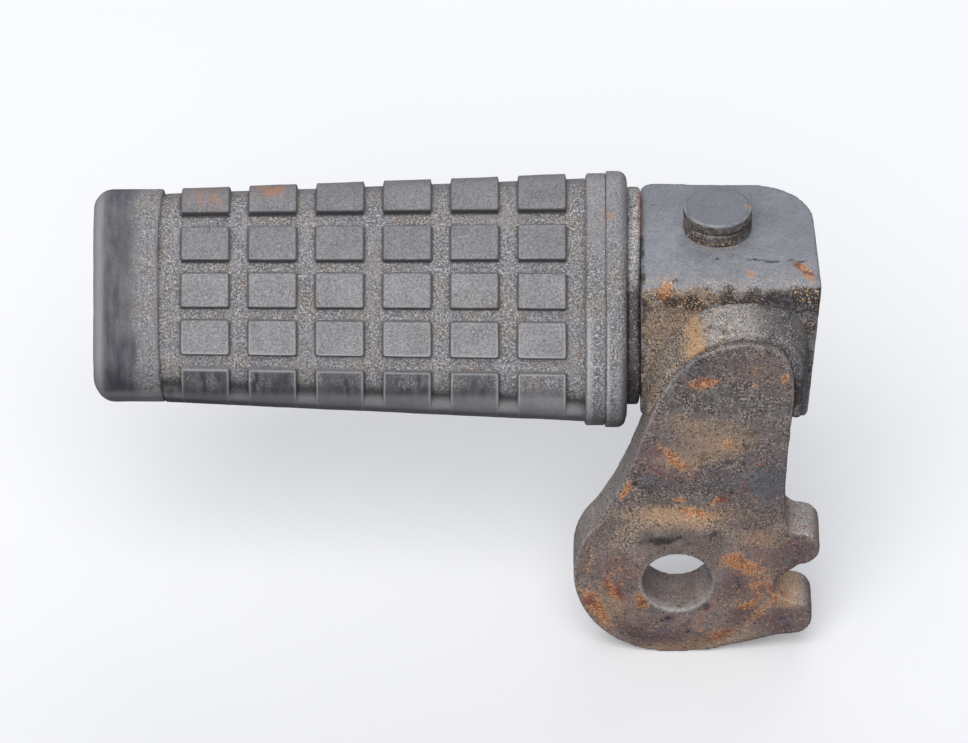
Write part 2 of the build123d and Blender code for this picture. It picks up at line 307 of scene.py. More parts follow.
# Colours over the noise that picks them, from its low values to its high ones
RUBBER_FACE = [(0.34, (0.190, 0.185, 0.197)), (0.50, (0.305, 0.298, 0.312)), (0.68, (0.47, 0.46, 0.475))]
WORN_FACE = [(0.34, (0.140, 0.137, 0.148)), (0.66, (0.375, 0.368, 0.385))]
# darker rubber, also used as painted shade
DARK_RUBBER_AND_SHADE = [(0.35, (0.050, 0.052, 0.064)), (0.65, (0.120, 0.120, 0.139))]
COOL_DUST = [(0.32, (0.070, 0.067, 0.072)), (0.51, (0.205, 0.200, 0.212)), (0.70, (0.68, 0.67, 0.69))]
WARM_DUST = [(0.32, (0.078, 0.064, 0.060)), (0.51, (0.226, 0.201, 0.190)), (0.70, (0.68, 0.63, 0.60))]
SAND = [(0.38, (0.045, 0.034, 0.030)), (0.49, (0.190, 0.148, 0.120)), (0.63, (0.68, 0.56, 0.46))]
ASH = [(0.36, (0.11, 0.105, 0.107)), (0.50, (0.32, 0.307, 0.312)), (0.65, (0.82, 0.79, 0.79))]
ORANGE_RUST = [(0.38, (0.14, 0.040, 0.022)), (0.49, (0.52, 0.185, 0.070)), (0.63, (0.92, 0.56, 0.30))]
RED_RUST = [(0.38, (0.045, 0.016, 0.015)), (0.62, (0.42, 0.115, 0.070))]
GOLD_GRIT = [(0.35, (0.42, 0.20, 0.09)), (0.50, (0.70, 0.48, 0.26)), (0.65, (0.72, 0.66, 0.58))]
DARK_RUST = [(0.3, (0.07, 0.028, 0.014)), (0.7, (0.33, 0.14, 0.055))]

# The hues of stains, and their colours
OCHRE, BROWN, MAROON, SLATE = 0.15, 0.40, 0.65, 0.90
STAIN_COLOURS = [
    (OCHRE, (0.70, 0.43, 0.22)),
    (BROWN, (0.350, 0.248, 0.215)),
    (MAROON, (0.215, 0.110, 0.112)),
    (SLATE, (0.135, 0.144, 0.172)),
]


def rubber_material():
    """Grey worn rubber. Points carry how dark (partly painted shade), dusty, shaded (painted shade) and
    rusty they are, and their painted highlights.
    """
    s = Shader("aged_rubber")
    grain = s.noise(0.45 * MM, detail=3.0, rough=0.75)
    speck = s.noise(0.37 * MM, detail=2.0, rough=0.75, seed=4.0)
    cloud = s.noise(8 * MM, detail=4.0)
    streak = s.noise(1.3 * MM, detail=3.0, stretch=(1, 0.25, 0.25), seed=9.0)
    face = s.mix(s.between(cloud, 0.62, 0.36), s.ramp(grain, RUBBER_FACE), s.ramp(grain, WORN_FACE))
    warmth = s.between(s.noise(6 * MM, detail=2.0, seed=12.0), 0.42, 0.60)
    dust = s.mix(warmth, s.ramp(speck, COOL_DUST), s.ramp(speck, WARM_DUST))
    # the dark mark: darker rubber on the cap and upper rows, and painted shade on the row that looks down,
    # the cap's lower side and the crevice by the plate
    colour = s.mix(s.point_value("dark"), face, s.ramp(streak, DARK_RUBBER_AND_SHADE))
    colour = s.mix(s.times(s.point_value("dust"), s.between(streak, 0.25, 0.5)), colour, dust)
    # painted shade under the blocks, along their edges and on the grooves' ramps
    colour = s.mix(s.times(s.point_value("shade"), 0.9), colour, (0.030, 0.029, 0.031))
    # painted highlights along block edges, seams and the cap, and a painted reflection low on the bottom row
    colour = s.mix(s.times(s.point_value("lip_highlight"), 0.8), colour, (0.54, 0.54, 0.55))
    rust = s.times(s.point_value("rust"), s.between(streak, 0.36, 0.62))
    colour = s.mix(s.times(rust, s.between(grain, 0.30, 0.55)), colour, (0.46, 0.22, 0.115))
    normal = s.bump(grain, 0.05 * MM, 0.5)
    normal = s.bump(speck, 0.09 * MM, 0.35, normal)
    return s.finish(colour, s.ramp(cloud, [(0.2, grey(0.55)), (0.8, grey(0.75))]), normal)


def with_dirt(s, colour, middle, fine):
    """Sandy soil and pale ash."""
    soil = s.plus(s.point_value("soil"), s.swing(middle))
    colour = s.mix(s.between(soil, 0.18, 0.62), colour, s.ramp(fine, SAND))
    ash = s.plus(s.point_value("ash"), s.swing(middle))
    return s.mix(s.between(ash, 0.25, 0.65), colour, s.ramp(fine, ASH))


def with_specks(s, colour, speckle):
    """Light and dark specks in patches, fewer where the surface is calm."""
    specks = s.noise(0.34 * MM, detail=1.0, rough=0.5, seed=11.0)
    patches = s.times(s.between(s.noise(2.6 * MM, detail=2.0, seed=21.0), 0.28, 0.58), speckle)
    patches = s.times(patches, s.between(s.point_value("calm"), 1.3, 0.0))
    colour = s.mix(s.times(s.between(specks, 0.54, 0.66), patches), colour, (0.56, 0.49, 0.45))
    return s.mix(s.times(s.between(specks, 0.46, 0.34), patches), colour, (0.018, 0.015, 0.016))


def with_stains(s, colour, middle, crumbs):
    """Broken stains in their points' hues, with tan flecks on the warm ones."""
    hue = s.plus(s.point_value("hue"), s.swing(middle, 0.7))
    stain = s.times(s.point_value("stain"), s.between(crumbs, 0.35, 0.57))
    colour = s.mix(s.times(stain, 0.90), colour, s.ramp(hue, STAIN_COLOURS))
    warm = s.times(s.point_value("stain"), s.between(s.point_value("hue"), 0.85, 0.70))
    flecks = s.times(warm, s.between(s.noise(0.55 * MM, detail=2.0, seed=31.0), 0.57, 0.66))
    return s.mix(s.times(flecks, 0.75), colour, (0.62, 0.36, 0.20))


def steel_material(name, dark, paint, light, speckle):
    """Old paint over rusting forged steel, with painted shade where the black mark holds it. Points carry
    the values named in MARKS.
    """
    s = Shader(name)
    coarse = s.noise(6 * MM, detail=5.0, rough=0.62)
    middle = s.noise(1.7 * MM, detail=4.0, rough=0.68, seed=3.0)
    fine = s.noise(0.36 * MM, detail=3.0, rough=0.72, seed=7.0)
    crumbs = s.plus(s.times(middle, 0.45), s.times(fine, 0.55))
    blend = s.plus(s.times(coarse, 0.5), s.times(middle, 0.5))
    colour = s.ramp(blend, [(0.34, dark), (0.50, paint), (0.66, light)])
    colour = with_dirt(s, colour, middle, fine)
    colour = with_specks(s, colour, speckle)
    colour = with_stains(s, colour, middle, crumbs)
    small_pits = s.times(s.between(s.cells(1.2 * MM), 0.30, 0.14), s.between(middle, 0.45, 0.58))
    colour = s.mix(s.times(small_pits, speckle), colour, (0.030, 0.024, 0.024))
    crust = s.mix(s.between(coarse, 0.52, 0.40), s.ramp(fine, ORANGE_RUST), s.ramp(fine, RED_RUST))
    rusty = s.between(s.plus(s.point_value("rust"), s.swing(crumbs, 3.0)), 0.40, 0.80)
    colour = s.mix(s.times(rusty, 0.88), colour, crust)
    # dark pits, and painted shade where the black mark holds it
    pits = s.between(s.plus(s.point_value("black"), s.swing(crumbs, 3.6)), 0.36, 0.76)
    colour = s.mix(s.times(pits, 0.9), colour, (0.030, 0.026, 0.030))
    grain = s.noise(0.40 * MM, detail=1.0, rough=0.5, seed=15.0)
    grains = s.times(s.point_value("grit"), s.between(grain, 0.55, 0.66))
    colour = s.mix(grains, colour, s.ramp(s.noise(0.9 * MM, seed=17.0), GOLD_GRIT))
    rubbed = s.times(s.point_value("worn"), s.between(middle, 0.32, 0.55))
    colour = s.mix(rubbed, colour, (0.50, 0.48, 0.46))
    normal = s.bump(fine, 0.10 * MM, 0.55)
    normal = s.bump(middle, 0.25 * MM, 0.45, normal)
    normal = s.bump(grains, 0.16 * MM, 0.6, normal)
    clean_rough = s.ramp(middle, [(0.3, grey(0.42)), (0.7, grey(0.60))])
    return s.finish(colour, s.mix(rusty, clean_rough, grey(0.9)), normal)


def hardware_material(name, tint, rust_share):
    """Bare metal gone dull, with some rust, for parts that carry no point values."""
    s = Shader(name)
    middle = s.noise(2.2 * MM, detail=4.0, rough=0.6)
    fine = s.noise(0.4 * MM, detail=3.0, rough=0.7, seed=2.0)
    metal = s.ramp(fine, [(0.3, tuple(c * 0.6 for c in tint)), (0.7, tint)])
    rusty = s.between(middle, 0.72 - rust_share * 0.4, 0.80 - rust_share * 0.4)
    colour = s.mix(rusty, metal, s.ramp(fine, DARK_RUST))
    normal = s.bump(fine, 0.06 * MM, 0.5)
    rough = s.mix(rusty, grey(0.42), grey(0.88))
    return s.finish(colour, rough, normal, s.between(rusty, 0.9, 0.1))


RUBBER = rubber_material()
ARM_STEEL = steel_material(
    "painted_arm", (0.062, 0.056, 0.062), (0.155, 0.142, 0.146), (0.270, 0.244, 0.240), speckle=0.85
)
BLOCK_STEEL = steel_material(
    "painted_block", (0.196, 0.208, 0.243), (0.266, 0.281, 0.322), (0.345, 0.358, 0.398), speckle=0.28
)
PIN_STEEL = steel_material(
    "painted_pin", (0.165, 0.172, 0.200), (0.185, 0.194, 0.226), (0.205, 0.215, 0.244), speckle=0.15
)
PLATE_STEEL = steel_material(
    "dirty_plate", (0.030, 0.026, 0.026), (0.045, 0.040, 0.040), (0.075, 0.066, 0.064), speckle=0.5
)
CORE_STEEL = hardware_material("dull_steel", (0.25, 0.24, 0.23), 0.55)
HARDWARE = hardware_material("hardware_steel", (0.33, 0.31, 0.29), 0.35)
BRONZE = hardware_material("bush_bronze", (0.42, 0.29, 0.15), 0.1)


# --- Rubber pad ---------------------------------------------------------------------------------
# Distances out from the pin axis, in millimetres, as the CAD has them
PLATE_END = 18.0
SEAM = 22.2
FLANGE_END = 26.2
TREAD_END = 111.1
CAP_END = 124.1

# The pad's section: radii of its crowned faces and its corners, and (half width, half depth) along it
CROWN = 86.0
CORNER = 9.0
CUSHION_SIZE = (25.1, 18.2)
FLANGE_SIZE = (24.7, 17.8)
ROOT_SIZE = (24.4, 16.2)
TIP_SIZE = (20.9, 14.8)
CAP_SIZE = (20.9, 14.9)
FLANGE_DROP = 0.75  # how far across the section's middle lies below the axis
ROOT_DROP = 0.35
FLASH = 0.22  # height and half width of the moulding line

# The tread: depth of its grooves, its blocks' length and middles, and their edges
RELIEF = 1.6
BLOCK_LENGTH = 9.4
FIRST_COLUMN = 34.9
COLUMN_PITCH = 13.38
COLUMNS = [FIRST_COLUMN + COLUMN_PITCH * k for k in range(6)]
BLOCK_CORNER = 0.45
WALL = 0.24  # how far a block's side leans out to its foot
MIDDLE_EDGE = 3.35  # edges of the rows, across from the middle
INNER_EDGE = 6.0
OUTER_EDGE = 12.7
LAST_EDGE = 15.7
PAST_SIDES = 60.0  # the outer rows have no outer edge
FAN = 0.06  # how much further apart the rows are at the root
# each row's low edge, high edge, and how far its low side leans out
ROWS = (
    (-PAST_SIDES, -LAST_EDGE, 0.2),
    (-OUTER_EDGE, -INNER_EDGE, 0.24),
    (-MIDDLE_EDGE, MIDDLE_EDGE, 0.3),
    (INNER_EDGE, OUTER_EDGE, 0.38),
    (LAST_EDGE, PAST_SIDES, 0.55),
)


def section_parts(half_width, half_depth):
    """Angle where the crown ends, lengths of crown and corner, and height of the corner's centre."""
    bend = math.asin((half_width - CORNER) / (CROWN - CORNER))
    centre = half_depth - CROWN + math.sqrt((CROWN - CORNER) ** 2 - (half_width - CORNER) ** 2)
    return bend, CROWN * bend, CORNER * (math.pi / 2 - bend), centre


def section(run, half_width, half_depth):
    """Point (across, facing) and outward direction, run millimetres round from the tread's middle."""
    bend, crown_run, corner_run, centre = section_parts(half_width, half_depth)
    angle = np.where(run < crown_run, run / CROWN, bend + (run - crown_run) / CORNER)
    angle = np.minimum(angle, math.pi / 2)
    side = np.maximum(run - crown_run - corner_run, 0)
    flat = run < crown_run
    across = np.where(flat, CROWN * np.sin(angle), half_width - CORNER + CORNER * np.sin(angle))
    crowned = half_depth - CROWN + CROWN * np.cos(angle)
    facing = np.where(flat, crowned, centre + CORNER * np.cos(angle) - side)
    return across, facing, np.sin(angle), np.cos(angle)


def rise(inside):
    """Height of a block, 0 to 1, at a distance inside its edge, along which a thin lip stands."""
    return np.interp(inside, [-WALL, -0.04, 0.10, 0.22, 0.5, 1.1], [0, 0.86, 1.0, 1.014, 1.010, 1.0])


def bell(value, middle, width):
    """1 at middle, falling away smoothly over about width to either side."""
    return np.exp(-(((value - middle) / width) ** 2))


def tread_profile(spread, distance):
    """Height, painted shade and painted highlight of the tread. spread is measured across it as if the rows
    didn't fan out.
    """
    row = np.full(len(spread), -9.0)
    shade = np.zeros(len(spread))
    lip_highlight = np.zeros(len(spread))
    for low, high, low_wall in ROWS:
        below = spread - low
        above = high - spread
        below = np.where(below < 0, below * WALL / low_wall, below)
        row = np.maximum(row, np.minimum(below, above))
        shade += bell(spread - low, -0.45 * low_wall, 0.6 * low_wall) + 0.25 * bell(above, -0.3, 0.3)
        shade += 0.16 * bell(spread - low, -0.9, 0.7) * step(spread - low, 0.1, -0.3)
        # painted highlights along each row's edges, stronger on its low side
        lip_highlight += bell(below, 0.18, 0.16) + 0.6 * bell(above, 0.18, 0.16)
    column = max(BLOCK_LENGTH / 2 - abs(distance - c) for c in COLUMNS)
    cut = np.hypot(np.maximum(BLOCK_CORNER - row, 0), max(BLOCK_CORNER - column, 0))
    near = (row < BLOCK_CORNER) & (column < BLOCK_CORNER)
    inside = np.where(near, BLOCK_CORNER - cut, np.minimum(row, column))
    shade = shade * step(column, -0.3, 0.1) + 0.45 * bell(column, -0.3, 0.3) * step(row, -0.3, 0.1)
    lip_highlight = lip_highlight * step(column, 0.0, 0.5) + 0.8 * bell(column, 0.18, 0.16) * step(row, 0.0, 0.5)
    shade = shade + 0.22 * bell(inside, 0.04, 0.12)
    return rise(inside), shade, lip_highlight


def lines_round(edges, spacing, start, stop):
    """Grid lines that crowd round each edge, and are about spacing apart elsewhere."""
    close = (-1.2, -0.75, -0.5, -0.32, -0.14, 0.0, 0.12, 0.24, 0.42, 0.8)
    fixed = sorted(e + s * c for e, s in edges for c in close)
    lines = [start] + [f for f in fixed if start < f < stop] + [stop]
    full = []
    for low, high in zip(lines, lines[1:]):
        pieces = max(1, round((high - low) / spacing))
        full += [low + (high - low) * k / pieces for k in range(pieces)]
    return full + [stop]


def fan(distance):
    """How far apart the rows are at a distance along the peg, 1 at the tread's end."""
    return 1 + FAN * np.clip((TREAD_END - distance) / (TREAD_END - FLANGE_END), 0, 1)


ROW_EDGES = [(MIDDLE_EDGE, -1), (INNER_EDGE, 1), (OUTER_EDGE, -1), (LAST_EDGE, 1)]
LINES_END = 18.0  # past the last row's edge
LINE_SPACING = 1.2
RING_SPACING = 1.3
ROW_LINES = lines_round(ROW_EDGES, LINE_SPACING, 0.0, LINES_END)
SIDE_COUNT = 22  # grid lines from there to the parting, and on underneath
UNDER_COUNT = 18


def grooves_end(run, upper, right, parting, bend_end):
    """How far each groove has run out, 0 to 1, and the painted shade on the ramp where one does so.

    upper is 1 on the tread and -1 underneath. right is 1 on the half that looks up and -1 on the other.
    """
    rail = 0.45 * step(run, parting - 1.2, parting - 0.3)
    out_above = np.where(upper > 0, rail, 0.45 + 0.55 * step(run, parting - 0.5, parting - 5))
    out_below = np.where(upper > 0, step(run, bend_end - 6.8, bend_end - 2.0), 1)
    ramp = bell(run, bend_end - 5.6, 1.4) * (right < 0) * (upper > 0)
    return np.where(right > 0, out_above, out_below), ramp


def section_ring(distance, size, inset=0.0, drop=0.0, tread=False):
    """One closed ring of points (distance, across, facing) with its height, painted shade and painted
    highlight.
    """
    _, crown_run, corner_run, centre = section_parts(*size)
    parting = crown_run + corner_run + centre
    rows = np.array(ROW_LINES) * fan(distance)
    side = np.linspace(rows[-1], parting, SIDE_COUNT + 1)[1:]
    under = np.linspace(parting, 0, UNDER_COUNT + 1)[1:]
    half = np.concatenate([rows, side, under])
    above = len(rows) + len(side)
    upper = np.where(np.arange(len(half)) < above, 1, -1)
    run = np.concatenate([half, half[-2:0:-1]])
    upper = np.concatenate([upper, upper[-2:0:-1]])
    right = np.where(np.arange(len(run)) < len(half), 1, -1)
    across, facing, away_across, away_facing = section(run, *size)
    height = np.ones(len(run))
    shade = np.zeros(len(run))
    lip_highlight = np.zeros(len(run))
    if tread:
        height, shade, lip_highlight = tread_profile(right * run / fan(distance), distance)
        out, ramp = grooves_end(run, upper, right, parting, crown_run + corner_run)
        shade = shade * (1 - out) + ramp * (height < 0.5)
        lip_highlight = lip_highlight * (1 - 0.6 * out)
        height = np.maximum(height, out)
    flash = FLASH * bell(run, parting, FLASH) if inset < 0.1 else 0
    inward = inset + RELIEF * (1 - height) - flash
    x = right * (across - away_across * inward) - drop
    y = upper * (facing - away_facing * inward)
    return np.stack([np.full(len(x), distance), x, y], axis=1), np.stack([height, shade, lip_highlight], axis=1)


def rubber_mesh(name, rings):
    """Skins the rings, closes both ends and keeps height, painted shade and painted highlight."""
    size = len(rings[0][0])
    points = np.concatenate([r[0] for r in rings])
    marks = np.concatenate([r[1] for r in rings])
    faces = []
    for k in range(len(rings) - 1):
        low, high = k * size, (k + 1) * size
        for a in range(size):
            b = (a + 1) % size
            faces.append((low + a, high + a, high + b, low + b))
    faces.append(tuple(range(size)))
    faces.append(tuple(reversed(range(len(points) - size, len(points)))))
    place = PIN + MM * (points[:, :1] * OUTWARD + points[:, 1:2] * ACROSS + points[:, 2:] * FACING)
    mesh = bpy.data.meshes.new(name)
    mesh.from_pydata(place.tolist(), [], faces)
    for column, mark in enumerate(("height", "shade", "lip_highlight")):
        store(mesh, mark, marks[:, column])
    return mesh


def rounding(distance, size, radius, sign, steps, drop=0.0):
    """Rings round a rim's edge. sign 1 ends the piece away from the pin, -1 towards it."""
    rings = []
    for k in range(steps + 1):
        angle = math.pi / 2 * k / steps
        inset = radius * (1 - math.cos(angle))
        rings.append(section_ring(distance - sign * radius * (1 - math.sin(angle)), size, inset, drop))
    return rings if sign > 0 else rings[::-1]


def pad_rings():
    """The pad from its seam outwards: flange, tread and end cap."""
    rings = rounding(SEAM, FLANGE_SIZE, 0.4, -1, 4, FLANGE_DROP)
    rings += [section_ring(d, FLANGE_SIZE, 0, FLANGE_DROP) for d in (23.4, 24.5)]
    rings += rounding(FLANGE_END, FLANGE_SIZE, 0.6, 1, 4, FLANGE_DROP)
    edges = [(c + s * BLOCK_LENGTH / 2, -s) for c in COLUMNS for s in (-1, 1)]
    for distance in lines_round(edges, RING_SPACING, FLANGE_END + 0.12, TREAD_END - 0.02):
        share = (distance - FLANGE_END) / (TREAD_END - FLANGE_END)
        size = [a + (b - a) * share for a, b in zip(ROOT_SIZE, TIP_SIZE)]
        rings.append(section_ring(distance, size, 0, ROOT_DROP * (1 - share), True))
    for inset, beyond in ((0.9, 0.02), (0.3, 0.05), (0.08, 0.22), (0, 0.6)):
        rings.append(section_ring(TREAD_END + beyond, CAP_SIZE, inset))
    rings += [section_ring(TREAD_END + d, CAP_SIZE) for d in (1.8, 3.4, 5.0, 6.6, 8.0)]
    rings += rounding(CAP_END, CAP_SIZE, 3.8, 1, 8)
    rings += [section_ring(CAP_END, CAP_SIZE, inset) for inset in (5.5, 7.2)]
    return rings


def cushion_rings():
    """The second flange, between the pressure plate and the seam."""
    rings = rounding(PLATE_END, CUSHION_SIZE, 1.8, -1, 6, FLANGE_DROP)
    rings += [section_ring(d, CUSHION_SIZE, 0, FLANGE_DROP) for d in (20.2, 21.2)]
    return rings + rounding(SEAM, CUSHION_SIZE, 0.4, 1, 4, FLANGE_DROP)


def along_peg(points):
    """Millimetres out from the pin axis, across the tread and out of it."""
    local = (points - PIN) / MM
    return local @ OUTWARD, local @ ACROSS, local @ FACING


def spot(a, b, centre, size, turn=0.0):
    """1 at a spot's centre, about a third at its rim, 0 well outside. turn is in degrees."""
    c, s = math.cos(math.radians(turn)), math.sin(math.radians(turn))
    u = (a - centre[0]) * c + (b - centre[1]) * s
    v = (b - centre[1]) * c - (a - centre[0]) * s
    return np.exp(-((u / size[0]) ** 2 + (v / size[1]) ** 2))


def unevenness(points, away, seed):
    """Shifts in millimetres: the skin is slightly uneven, and the cap's inner edge curves."""
    out, across, _ = along_peg(points)
    bow = np.clip(np.abs(across) / CAP_SIZE[0], 0, 1) ** 4
    bow = bow * step(out, TREAD_END - 1.5, TREAD_END) * step(out, TREAD_END + 5, TREAD_END + 1)
    wander = 0.06 * fractal(points, 9 * MM, seed) + 0.03 * fractal(points, 2.2 * MM, seed + 3)
    return away * wander[:, None] - bow[:, None] * OUTWARD


def places_along(out):
    """Shares of the tread and of the end cap at distances out."""
    on_tread = step(out, 27, 28) * step(out, TREAD_END + 0.5, TREAD_END)
    return on_tread, step(out, TREAD_END, TREAD_END + 1)


def bottom_blocks(out, across, height):
    """How far past the upper edge of the row that looks down, and where its blocks are."""
    down = -across - LAST_EDGE * fan(out)
    return down, step(down, -0.2, 0.4) * step(height, 0.05, 0.6) * places_along(out)[0]


def rubber_dust_and_dark(out, across, height, cloud, mottle):
    """Where the rubber is dusty, and where it is darker: a darker cap and upper rows, and painted shade on
    the row that looks down, on the cap's lower side and in the crevice by the plate.
    """
    groove = 1 - step(height, 0.05, 0.6)
    on_tread, on_cap = places_along(out)
    on_flange = step(out, FLANGE_END + 0.3, FLANGE_END)
    down, bottom_row = bottom_blocks(out, across, height)
    cap_dust = step(out, 117.2 + 1.2 * mottle, TREAD_END + 2.5) * on_cap
    flange_dust = on_flange * (1 - 0.75 * step(across, 2, 16))
    flange_dust = flange_dust * (1 - 0.9 * step(out, 20.4, 18.8) * step(across, -8, -17))
    dust = groove * (0.95 + 0.2 * cloud) + 0.85 * cap_dust + flange_dust
    dust += bottom_row * bell(down, 1.8, 1.7) * (0.42 + 0.6 * mottle + 0.6 * step(out, 56, 36))
    low_faces = (1 - groove) * on_tread * step(across, 3, -4) * step(across, -15, -14)
    dust += low_faces * step(mottle + 0.5 * cloud, 0.2, 1.1)
    # painted shade on the row that looks down, lighter towards its lower edge
    dark = bottom_row * (1.0 + 0.1 * mottle) * (1 - 0.75 * step(down, 4.6, 6.8))
    dark = dark * (1 - 0.4 * step(out, 46, 36))
    # the upper rows' faces are darker
    dark += 0.28 * on_tread * step(across, 4, 8) * (1 - groove)
    # the cap is darker where it is not dusty
    dark += on_cap * (1 - cap_dust) * (0.86 + 0.15 * mottle)
    # painted shade on the cap's lower side
    dark += on_cap * 0.8 * step(across, -8, -15) * step(out, 113.5, 116)
    # painted shade in the crevice by the pressure plate, deepest low down
    dark += step(out, 19.9, 18.5) * (0.35 + 0.6 * step(across, -8, -16))
    return dust, dark


def rubber_highlights(out, across, facing, away, height, edge):
    """Painted highlights along the blocks' edges, the seams and the cap's rim and lower edge, and a painted
    reflection along the lower edge of the row that looks down.
    """
    _, on_cap = places_along(out)
    down, bottom_row = bottom_blocks(out, across, height)
    seam_line = bell(out, SEAM - 0.5, 0.26) + bell(out, FLANGE_END - 0.5, 0.28)
    lip_highlight = edge * (0.06 + 0.94 * step(across, -3, -14)) + 0.9 * seam_line * step(across, -2, -10)
    end_face = step(away @ OUTWARD, 0.65, 0.95)
    lip_highlight += 0.80 * step(out, 121.2, 123.0) * (1 - 0.9 * end_face)
    lip_highlight += 0.6 * on_cap * step(across, -19.4, -20.5) * (1 - end_face)
    return lip_highlight + 0.45 * bottom_row * step(down, 3.8, 5.2) * step(facing, 4, 7)


def rubber_rust(out, across, facing, mottle):
    """Rust on the last two blocks of the top row, and a speck beside the seam."""
    rust = spot(out, across, (101.5, 18.6), (3.4, 2.0)) + spot(out, across, (89.0, 20.6), (3.4, 1.6))
    rust += 0.75 * spot(out, across, (21.7, 14.6), (0.9, 0.8))
    return (rust + 0.4 * mottle * step(rust, 0.2, 0.6)) * step(facing, -3, 2)


def finish_rubber(mesh, name, node, seed):
    """Makes the skin uneven, marks its points and links it as a piece."""
    points = coordinates(mesh)
    away = normals(mesh)
    out, across, facing = along_peg(points)
    points = points + MM * unevenness(points, away, seed)
    move_to(mesh, points)
    height = stored(mesh, "height")
    cloud = fractal(points, 12 * MM, seed + 5)
    mottle = fractal(points, 3 * MM, seed + 6)
    dust, dark = rubber_dust_and_dark(out, across, height, cloud, mottle)
    marks = {
        "dust": dust,
        "dark": dark,
        "shade": stored(mesh, "shade"),
        "lip_highlight": rubber_highlights(out, across, facing, away, height, stored(mesh, "lip_highlight")),
        "rust": rubber_rust(out, across, facing, mottle),
    }
    for mark, strength in marks.items():
        store(mesh, mark, np.clip(strength, 0, 1))
    mesh.materials.append(RUBBER)
    new_piece(name, mesh, "peg", [node])


finish_rubber(rubber_mesh("rubber_pad", pad_rings()), "rubber_pad", "tread_rubber", 11)
finish_rubber(rubber_mesh("detent_flange", cushion_rings()), "detent_flange", "detent_cushion", 23)


# --- Steel --------------------------------------------------------------------------------------
VOXEL = 0.42 * MM
MARKS = ("rust", "soil", "ash", "grit", "black", "worn", "stain", "hue", "calm")
BACKING_HUE = 0.38  # the hue between the stains


def spots(a, b, places):
    """Adds up spots given as (centre a, centre b, half length, half width, turn, strength)."""
    total = np.zeros(len(a))
    for at, bt, long, short, turn, strength in places:
        total += strength * spot(a, b, (at, bt), (long, short), turn)
    return total


def ragged(points, seed, reach=1.0):
    """Sideways shifts that give a spot a ragged outline."""
    return reach * fractal(points, 4 * MM, seed, 4), reach * fractal(points, 4 * MM, seed + 40, 4)


def stains(a, b, places, backing):
    """Strength and hue of soft stains given as (centre a, centre b, half a, half b, strength, hue)."""
    total = backing + 0.001
    hue = total * BACKING_HUE
    for at, bt, wide, tall, strength, shade in places:
        share = strength * spot(a, b, (at, bt), (wide, tall))
        total = total + share
        hue = hue + share * shade
    return total, hue / total


def steel_piece(
    node, name, body, material, marks,
    voxel=VOXEL, softening=2, swell=0.0, lump=0.06, seed=50, shape=None,
):
    """A node's shape, worked over: rounded edges, lumps and pits, and wear and painted shade kept on its
    points.
    """
    mesh = worked_steel(node, voxel, softening)
    if shape:
        move_to(mesh, shape(coordinates(mesh)))
    points = coordinates(mesh)
    away = normals(mesh)
    worn = marks(points, away)
    pits = np.minimum(fractal(points, 1.4 * MM, seed, 2) + 0.45, 0)
    height = swell + lump * fractal(points, 5 * MM, seed + 1, 2) + 0.03 * lattice(points, 1.0 * MM, seed + 2)
    height = height + 0.15 * pits + 0.07 * step(worn["rust"], 0.3, 0.8)
    move_to(mesh, points + MM * away * height[:, None])
    unmarked = np.zeros(len(points))
    for mark in MARKS:
        store(mesh, mark, np.clip(worn.get(mark, unmarked), 0, 1))
    mesh.materials.append(material)
    new_piece(name, mesh, body, [node])


# Where the arm's front face is marked: x and z from the bore, half lengths, turn in degrees and strength
ARM_RUST = (
    (4.8, 49.1, 4.4, 1.5, 22, 1.0),
    (20.0, 51.0, 2.4, 1.2, 75, 0.7),
    (14.1, 48.5, 0.9, 0.7, 0, 0.8),
    (15.4, 53.0, 1.4, 1.0, 0, 0.5),
    (-0.8, 30.0, 5.4, 1.4, -47, 1.0),
    (10.0, 34.4, 3.4, 1.5, 28, 0.65),
    (9.0, 37.6, 2.6, 0.8, 10, 0.4),
    (16.4, 28.6, 1.2, 1.0, 60, 0.7),
    (-10.7, 22.3, 2.2, 0.9, 80, 1.0),
    (-13.2, -1.6, 3.0, 1.4, -70, 0.7),
    (14.4, -6.0, 2.0, 1.4, 30, 0.6),
    (0.0, 20.1, 2.0, 0.8, 10, 0.85),
    (8.5, 19.7, 2.2, 1.0, 5, 0.95),
    (3.6, 16.4, 2.2, 1.2, -30, 0.7),
    (12.2, 4.8, 4.6, 1.7, -32, 0.85),
    (15.8, -1.5, 2.2, 3.6, 0, 0.45),
    (19.0, -4.2, 3.8, 0.7, 100, 0.8),
    (16.0, -9.4, 3.2, 1.2, 48, 0.6),
    (8.3, -14.2, 2.8, 1.1, 30, 0.8),
    (-15.4, -7.6, 5.0, 1.4, -62, 0.8),
    (-17.2, 4.2, 2.2, 0.8, 75, 0.5),
    (-6.9, -5.2, 1.8, 1.0, -60, 0.85),
    (0.5, 17.5, 7.5, 1.2, 0, 0.35),
)
ARM_SOIL = (
    (2.2, 39.3, 5.0, 1.3, -12, 0.5),
    (6.4, 30.2, 1.3, 1.8, 0, 0.6),
    (-10.6, 11.2, 3.6, 2.0, 60, 0.5),
    (16.2, 9.9, 3.0, 1.8, -10, 0.75),
    (0.0, -16.4, 6.5, 1.0, 0, 0.6),
    (-2.0, 17.2, 9.0, 2.0, 0, 0.4),
    (10.0, 34.4, 5.0, 3.0, 28, 0.4),
    (20.5, 10.8, 2.2, 1.2, 0, 0.3),
)
ARM_BLACK = (
    (-6.6, 22.4, 2.4, 1.3, -25, 0.75),
    (-9.4, 23.6, 1.0, 0.7, 0, 0.5),
    # painted shade: the next two are the dark crescents just inside the ring's arc
    (-3.6, 10.8, 4.4, 1.3, 14, 0.80),
    (6.6, 11.2, 2.6, 1.1, -8, 0.65),
    (-1.8, -8.6, 1.4, 0.9, 0, 0.8),
    (2.2, -12.6, 1.5, 1.0, 0, 0.65),
    (6.0, -6.2, 1.0, 1.1, 0, 0.7),
    (12.4, 0.2, 1.4, 2.6, 0, 0.4),
    (3.5, 54.2, 3.6, 1.3, 25, 0.7),
)
